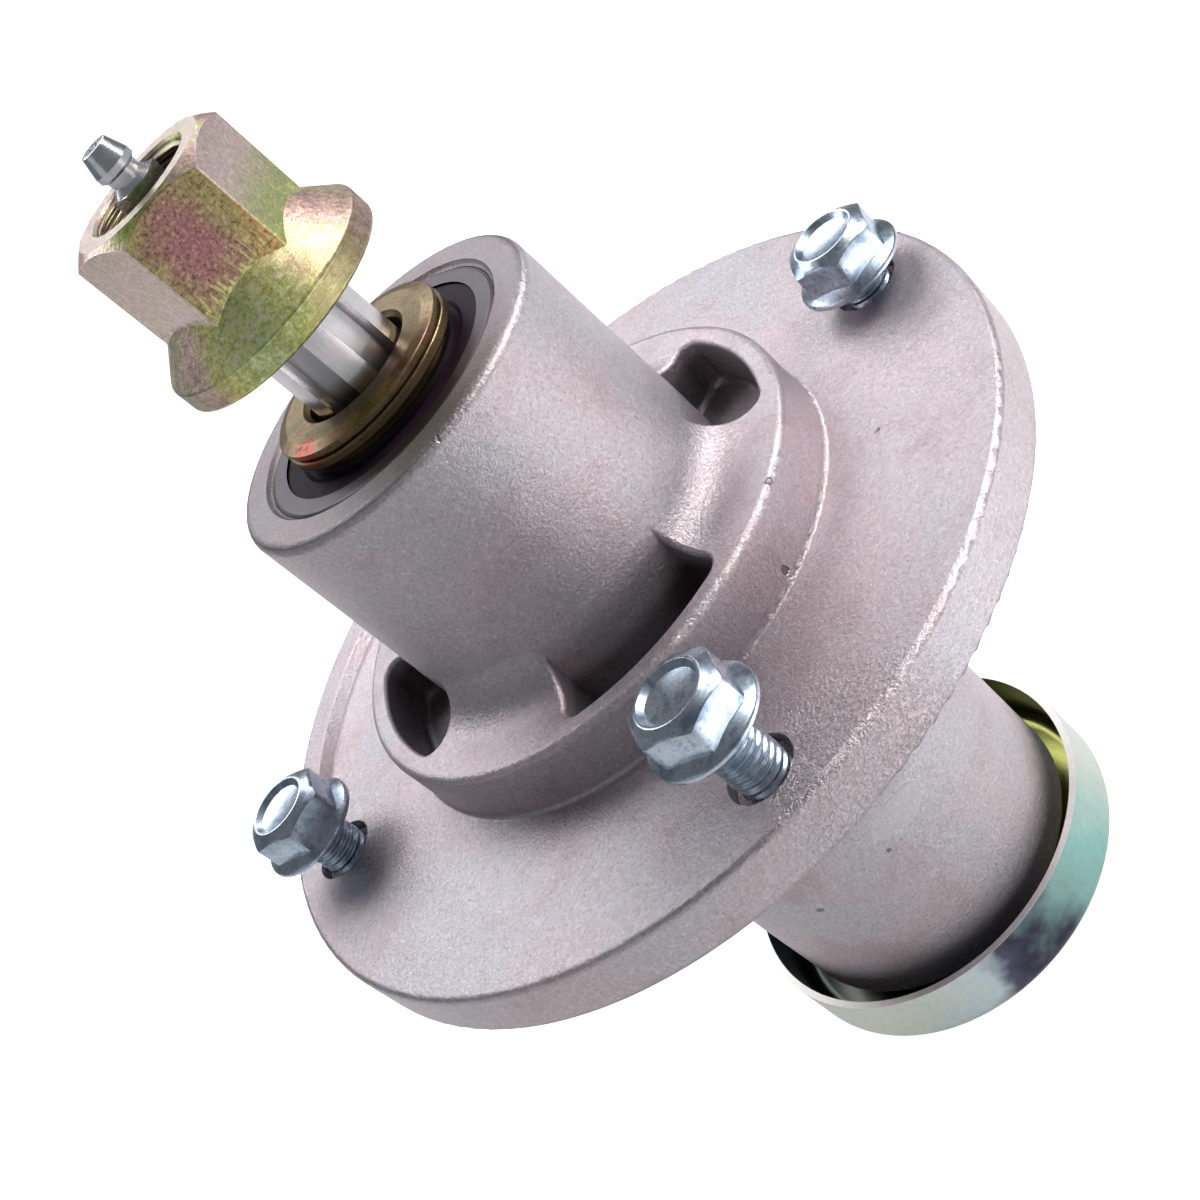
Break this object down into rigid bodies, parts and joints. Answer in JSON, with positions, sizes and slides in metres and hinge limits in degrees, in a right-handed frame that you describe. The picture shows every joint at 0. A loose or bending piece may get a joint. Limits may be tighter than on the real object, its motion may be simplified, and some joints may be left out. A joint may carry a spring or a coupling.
{
  "type": "mower deck spindle",
  "caption": "Mower deck spindle: flanged cast housing round a bearing-mounted steel shaft with a splined pulley seat, top flange nut, grease fitting, deck bolts and dust cup.",
  "frame": {"origin": "on the spindle axis, in the plane of the flange's underside, which seats on the deck", "axes": "+Z along the spindle axis towards the grease fitting; +X and +Y across it, so that the four deck bolts lie at -3, 84, 171 and 264 degrees from +X"},
  "size_m": [0.165, 0.165, 0.2331],
  "materials": {
    "cast_aluminium": "as cast, fine sand grain, machined seats",
    "bearing_steel": "ground",
    "ball_steel": "polished",
    "cage_steel": "pressed",
    "seal_rubber": "matt",
    "spacer_steel": "drawn tube",
    "shaft_steel": "machined, light phosphate",
    "washer_zinc": "yellow zinc plate",
    "nut_zinc": "yellow zinc plate, iridescent",
    "bolt_zinc": "blue-white zinc plate",
    "fitting_zinc": "bright zinc plate",
    "cup_zinc": "clear zinc plate on pressed sheet"
  },
  "bodies": {
    "root": {"housing": "cast_aluminium", "deck_bolts": "bolt_zinc", "upper_bearing_outer_ring": "bearing_steel", "upper_bearing_seal": "seal_rubber", "lower_bearing_outer_ring": "bearing_steel", "lower_bearing_seal": "seal_rubber"},
    "spindle": {"spindle_shaft": "shaft_steel", "upper_bearing_inner_ring": "bearing_steel", "lower_bearing_inner_ring": "bearing_steel", "bearing_spacer": "spacer_steel", "top_washer": "washer_zinc", "top_nut": "nut_zinc", "grease_fitting_body": "fitting_zinc", "grease_fitting_spring": "cage_steel", "dust_cup": "cup_zinc"},
    "upper_ball_set": {"upper_bearing_balls": "ball_steel", "upper_bearing_cage": "cage_steel"},
    "lower_ball_set": {"lower_bearing_balls": "ball_steel", "lower_bearing_cage": "cage_steel"},
    "check_ball": {"grease_fitting_ball": "ball_steel"}
  },
  "joints": [
    {"name": "spindle_spin", "type": "hinge", "parent": "root", "child": "spindle", "pos_m": [0, 0, 0], "axis": [0, 0, 1], "continuous": true},
    {"name": "upper_ball_set_spin", "type": "hinge", "parent": "root", "child": "upper_ball_set", "pos_m": [0, 0, 0.06], "axis": [0, 0, 1], "continuous": true},
    {"name": "lower_ball_set_spin", "type": "hinge", "parent": "root", "child": "lower_ball_set", "pos_m": [0, 0, -0.082], "axis": [0, 0, 1], "continuous": true},
    {"name": "check_ball_travel", "type": "slide", "parent": "spindle", "child": "check_ball", "axis": [0, 0, -1], "range_m": [0, 0.0008], "stiffness_N_per_m": 150, "springref_m": -0.002, "deforming": ["grease_fitting_spring"]}
  ],
  "couplings": [
    {"joint": "upper_ball_set_spin", "follows": "spindle_spin", "ratio": 0.39691},
    {"joint": "lower_ball_set_spin", "follows": "spindle_spin", "ratio": 0.39691}
  ]
}
